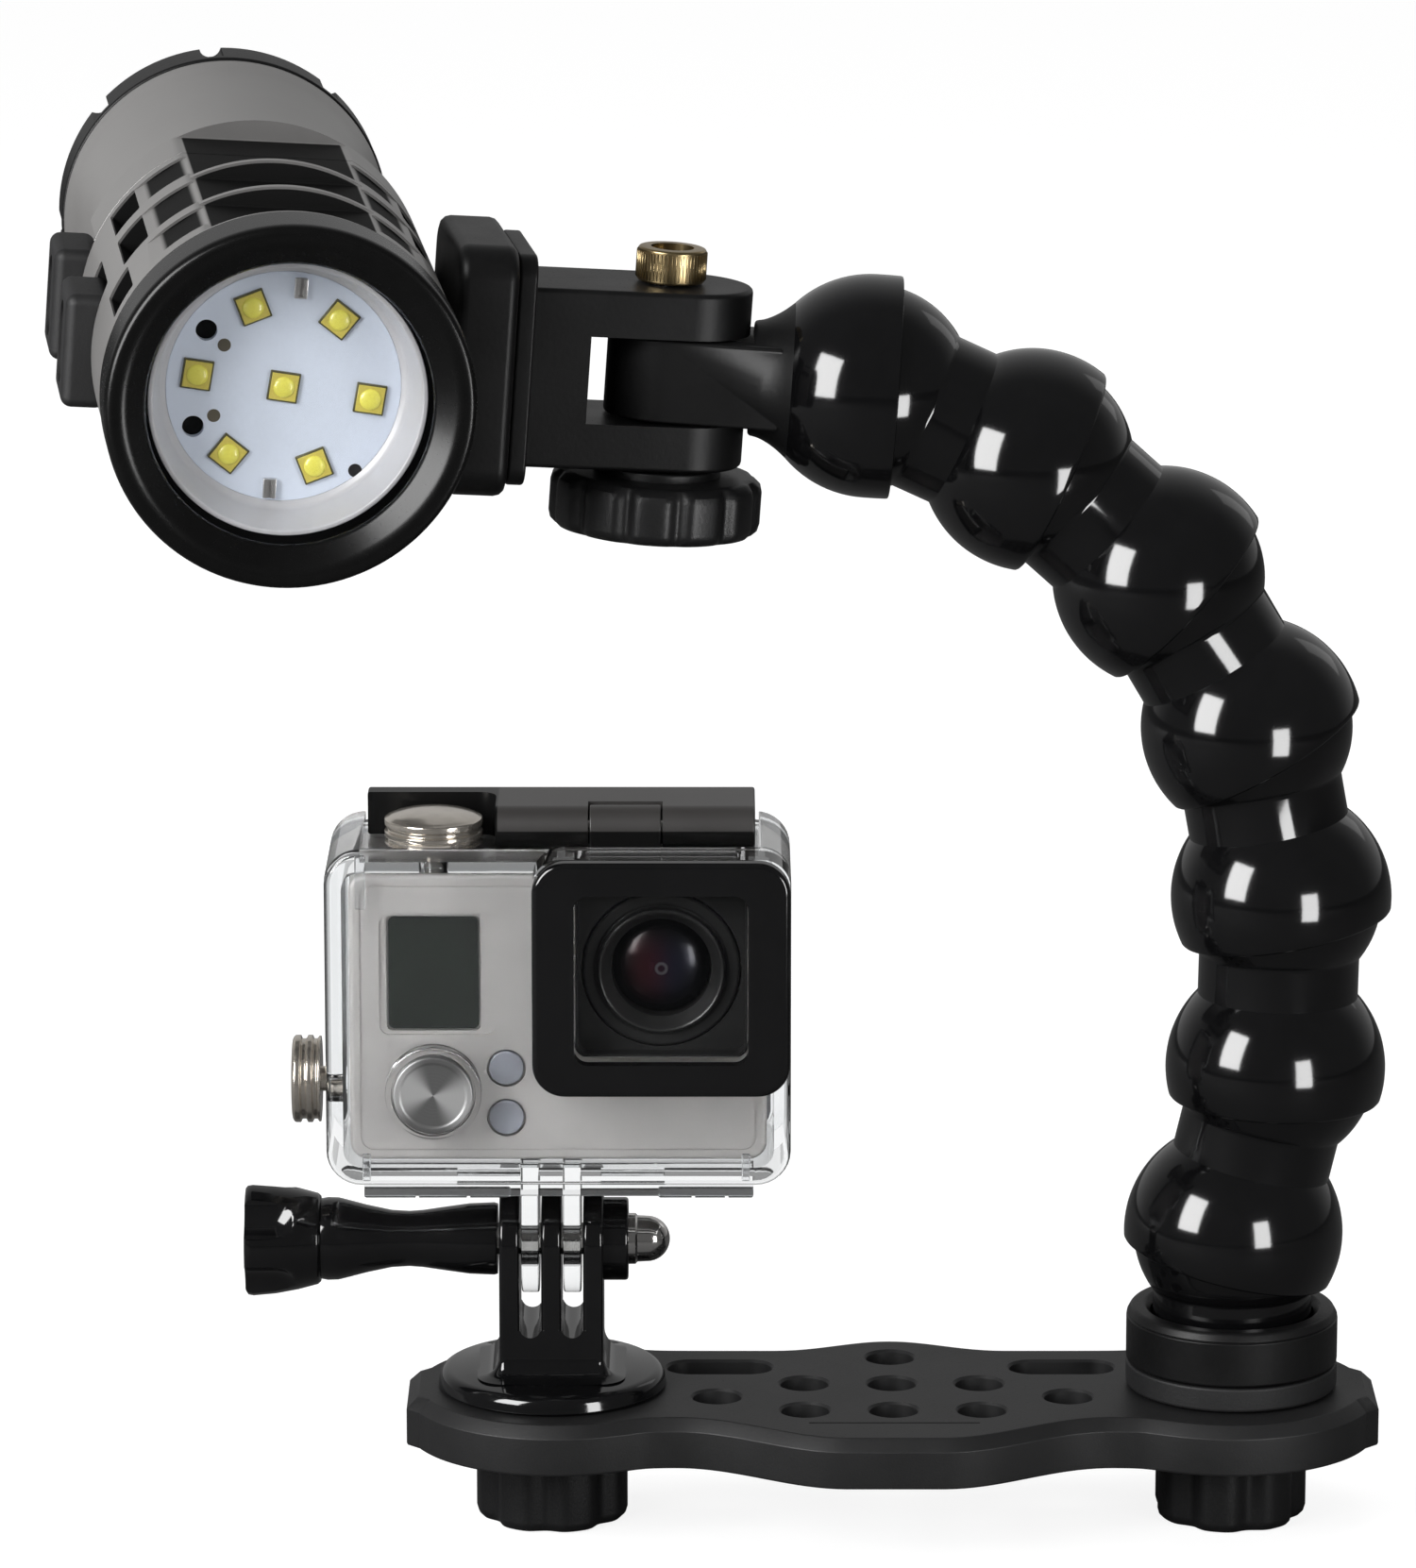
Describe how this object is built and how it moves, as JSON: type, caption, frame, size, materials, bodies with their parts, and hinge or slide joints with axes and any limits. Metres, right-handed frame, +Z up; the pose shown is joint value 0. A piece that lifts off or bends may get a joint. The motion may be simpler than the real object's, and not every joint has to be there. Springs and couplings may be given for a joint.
{
  "type": "underwater camera tray",
  "caption": "Contoured tray with a tilting clear camera housing on a three-prong mount and a video light on a jointed ball-and-socket arm.",
  "frame": {"origin": "centre of the part's box in plan, on the surface that the clamp knobs stand on", "axes": "+X to the right and +Y away from the viewer in the picture, -Y the side that the lens and the light face, +Z up"},
  "size_m": [0.1946, 0.1284, 0.2044],
  "materials": {
    "acorn_nut": "polished stainless steel",
    "arm_base_collar": "gloss black, moulded",
    "arm_base_pad": "black rubber",
    "arm_base_post": "gloss black, moulded",
    "arm_end_cup": "gloss black, moulded",
    "arm_segment_1": "gloss black, moulded",
    "arm_segment_2": "gloss black, moulded",
    "arm_segment_3": "gloss black, moulded",
    "arm_segment_4": "gloss black, moulded",
    "arm_segment_5": "gloss black, moulded",
    "arm_segment_6": "gloss black, moulded",
    "camera_body": "silver painted",
    "camera_display": "dark display window",
    "camera_lens": "clear glass",
    "camera_lens_ring": "satin black, moulded",
    "camera_mount_base": "gloss black, moulded",
    "clevis_brass_nut": "turned brass",
    "clevis_pivot_knob": "satin black, moulded",
    "clevis_stud": "polished stainless steel",
    "door_hinge_pin": "polished stainless steel",
    "front_switch_button": "black rubber",
    "housing_back_door": "clear polycarbonate",
    "housing_front_shell": "clear polycarbonate",
    "housing_gasket": "grey silicone",
    "housing_latch_bar": "satin black, moulded",
    "latch_hinge_pin": "polished stainless steel",
    "left_clamp_knob": "satin black, moulded",
    "left_clamp_stud": "polished stainless steel",
    "light_battery": "wrapped cell",
    "light_battery_tube": "grey anodised",
    "light_bezel": "gloss black",
    "light_clevis": "satin black anodised",
    "light_diffuser_ring": "white diffuser",
    "light_front_glass": "clear glass",
    "light_head": "grey anodised",
    "light_led_board": "pale coated board",
    "light_saddle": "satin black anodised",
    "light_tail_cap": "gloss black, moulded",
    "lower_window": "translucent pale window",
    "mode_button": "polished stainless steel",
    "mount_thread_insert": "turned brass",
    "port_frame": "satin black, moulded",
    "port_glass": "clear glass",
    "rear_switch_button": "black rubber",
    "right_clamp_knob": "satin black, moulded",
    "right_clamp_stud": "polished stainless steel",
    "shutter_button": "champagne anodised",
    "side_button": "champagne anodised",
    "thumb_screw_bolt": "polished stainless steel",
    "thumb_screw_handle": "gloss black, moulded",
    "tray_plate": "matte black anodised",
    "upper_window": "translucent pale window"
  },
  "bodies": {
    "tray": {"tray_plate": "tray_plate"},
    "left_clamp": {"left_clamp_knob": "left_clamp_knob", "left_clamp_stud": "left_clamp_stud"},
    "right_clamp": {"right_clamp_knob": "right_clamp_knob", "right_clamp_stud": "right_clamp_stud"},
    "camera_mount": {"camera_mount_base": "camera_mount_base", "mount_thread_insert": "mount_thread_insert", "acorn_nut": "acorn_nut"},
    "thumb_screw": {"thumb_screw_handle": "thumb_screw_handle", "thumb_screw_bolt": "thumb_screw_bolt"},
    "camera_housing": {"housing_front_shell": "housing_front_shell", "port_glass": "port_glass", "port_frame": "port_frame", "camera_body": "camera_body", "camera_display": "camera_display", "upper_window": "upper_window", "lower_window": "lower_window", "camera_lens_ring": "camera_lens_ring", "camera_lens": "camera_lens", "housing_gasket": "housing_gasket", "door_hinge_pin": "door_hinge_pin", "latch_hinge_pin": "latch_hinge_pin"},
    "housing_door": {"housing_back_door": "housing_back_door"},
    "housing_latch": {"housing_latch_bar": "housing_latch_bar"},
    "shutter_button": {"shutter_button": "shutter_button"},
    "mode_button": {"mode_button": "mode_button"},
    "side_button": {"side_button": "side_button"},
    "arm_base": {"arm_base_pad": "arm_base_pad", "arm_base_post": "arm_base_post", "arm_base_collar": "arm_base_collar"},
    "arm_link_1": {"arm_segment_1": "arm_segment_1"},
    "arm_link_2": {"arm_segment_2": "arm_segment_2"},
    "arm_link_3": {"arm_segment_3": "arm_segment_3"},
    "arm_link_4": {"arm_segment_4": "arm_segment_4"},
    "arm_link_5": {"arm_segment_5": "arm_segment_5"},
    "arm_link_6": {"arm_segment_6": "arm_segment_6"},
    "arm_end": {"arm_end_cup": "arm_end_cup"},
    "light": {"light_clevis": "light_clevis", "clevis_brass_nut": "clevis_brass_nut", "light_saddle": "light_saddle", "light_head": "light_head", "light_bezel": "light_bezel", "light_front_glass": "light_front_glass", "light_diffuser_ring": "light_diffuser_ring", "light_led_board": "light_led_board", "light_battery_tube": "light_battery_tube", "light_battery": "light_battery"},
    "pivot_knob": {"clevis_pivot_knob": "clevis_pivot_knob", "clevis_stud": "clevis_stud"},
    "tail_cap": {"light_tail_cap": "light_tail_cap"},
    "front_switch": {"front_switch_button": "front_switch_button"},
    "rear_switch": {"rear_switch_button": "rear_switch_button"}
  },
  "joints": [
    {"name": "left_clamp_turn", "type": "hinge", "parent": "tray", "child": "left_clamp", "pos_m": [-0.02311, -0.01527, 0], "axis": [0, 0, 1], "continuous": true},
    {"name": "right_clamp_turn", "type": "hinge", "parent": "tray", "child": "right_clamp", "pos_m": [0.0755, -0.01527, 0], "axis": [0, 0, 1], "continuous": true},
    {"name": "mount_swivel", "type": "hinge", "parent": "tray", "child": "camera_mount", "pos_m": [-0.02311, -0.01527, 0.0196], "axis": [0, 0, 1], "continuous": true},
    {"name": "thumb_screw_turn", "type": "hinge", "parent": "camera_mount", "child": "thumb_screw", "pos_m": [-0.02311, -0.01527, 0.0415], "axis": [1, 0, 0], "continuous": true},
    {"name": "housing_tilt", "type": "hinge", "parent": "camera_mount", "child": "camera_housing", "pos_m": [-0.02311, -0.01527, 0.0415], "axis": [1, 0, 0], "range_deg": [-90, 90]},
    {"name": "housing_door_hinge", "type": "hinge", "parent": "camera_housing", "child": "housing_door", "pos_m": [-0.02181, -0.00387, 0.0537], "axis": [-1, 0, 0], "range_deg": [0, 110]},
    {"name": "housing_latch_hinge", "type": "hinge", "parent": "camera_housing", "child": "housing_latch", "pos_m": [-0.0215, -0.02217, 0.1045], "axis": [1, 0, 0], "range_deg": [0, 90]},
    {"name": "shutter_press", "type": "slide", "parent": "camera_housing", "child": "shutter_button", "axis": [0, 0, -1], "range_m": [0, 0.0008], "stiffness_N_per_m": 400},
    {"name": "mode_press", "type": "slide", "parent": "camera_housing", "child": "mode_button", "axis": [0, 1, 0], "range_m": [0, 0.001], "stiffness_N_per_m": 400},
    {"name": "side_press", "type": "slide", "parent": "camera_housing", "child": "side_button", "axis": [1, 0, 0], "range_m": [0, 0.001], "stiffness_N_per_m": 400},
    {"name": "arm_base_swivel", "type": "hinge", "parent": "tray", "child": "arm_base", "pos_m": [0.0755, -0.01527, 0.0196], "axis": [0, 0, 1], "continuous": true},
    {"name": "arm_joint_1", "type": "hinge", "parent": "arm_base", "child": "arm_link_1", "pos_m": [0.0755, -0.01527, 0.0427], "axis": [0, -1, 0], "range_deg": [-9, 16]},
    {"name": "arm_joint_2", "type": "hinge", "parent": "arm_link_1", "child": "arm_link_2", "pos_m": [0.08119, -0.01527, 0.06735], "axis": [0, 1, 0], "range_deg": [-10, 34]},
    {"name": "arm_joint_3", "type": "hinge", "parent": "arm_link_2", "child": "arm_link_3", "pos_m": [0.08163, -0.01527, 0.09265], "axis": [0, -1, 0], "range_deg": [-33.5, 10.5]},
    {"name": "arm_joint_4", "type": "hinge", "parent": "arm_link_3", "child": "arm_link_4", "pos_m": [0.07702, -0.01527, 0.11752], "axis": [0, 1, 0], "range_deg": [-2, 42]},
    {"name": "arm_joint_5", "type": "hinge", "parent": "arm_link_4", "child": "arm_link_5", "pos_m": [0.06418, -0.01527, 0.13932], "axis": [0, -1, 0], "range_deg": [-39.5, 4.5]},
    {"name": "arm_joint_6", "type": "hinge", "parent": "arm_link_5", "child": "arm_link_6", "pos_m": [0.04537, -0.01527, 0.15625], "axis": [0, 1, 0], "range_deg": [-4.8, 39.2]},
    {"name": "arm_joint_7", "type": "hinge", "parent": "arm_link_6", "child": "arm_end", "pos_m": [0.02241, -0.01527, 0.16686], "axis": [0, -1, 0], "range_deg": [-42.8, 1.2]},
    {"name": "light_swing", "type": "hinge", "parent": "arm_end", "child": "light", "pos_m": [-0.00672, -0.01527, 0.1689], "axis": [0.0698, 0, 0.9976], "range_deg": [-100, 100]},
    {"name": "pivot_knob_turn", "type": "hinge", "parent": "light", "child": "pivot_knob", "pos_m": [-0.00672, -0.01527, 0.1689], "axis": [0.0698, 0, 0.9976], "continuous": true},
    {"name": "tail_cap_turn", "type": "hinge", "parent": "light", "child": "tail_cap", "pos_m": [-0.06211, -0.02309, 0.17458], "axis": [0.1346, -0.9886, -0.0671], "continuous": true},
    {"name": "front_switch_press", "type": "slide", "parent": "light", "child": "front_switch", "axis": [0.9879, 0.1392, -0.0691], "range_m": [0, 0.001], "stiffness_N_per_m": 600},
    {"name": "rear_switch_press", "type": "slide", "parent": "light", "child": "rear_switch", "axis": [0.9879, 0.1392, -0.0691], "range_m": [0, 0.001], "stiffness_N_per_m": 600}
  ]
}
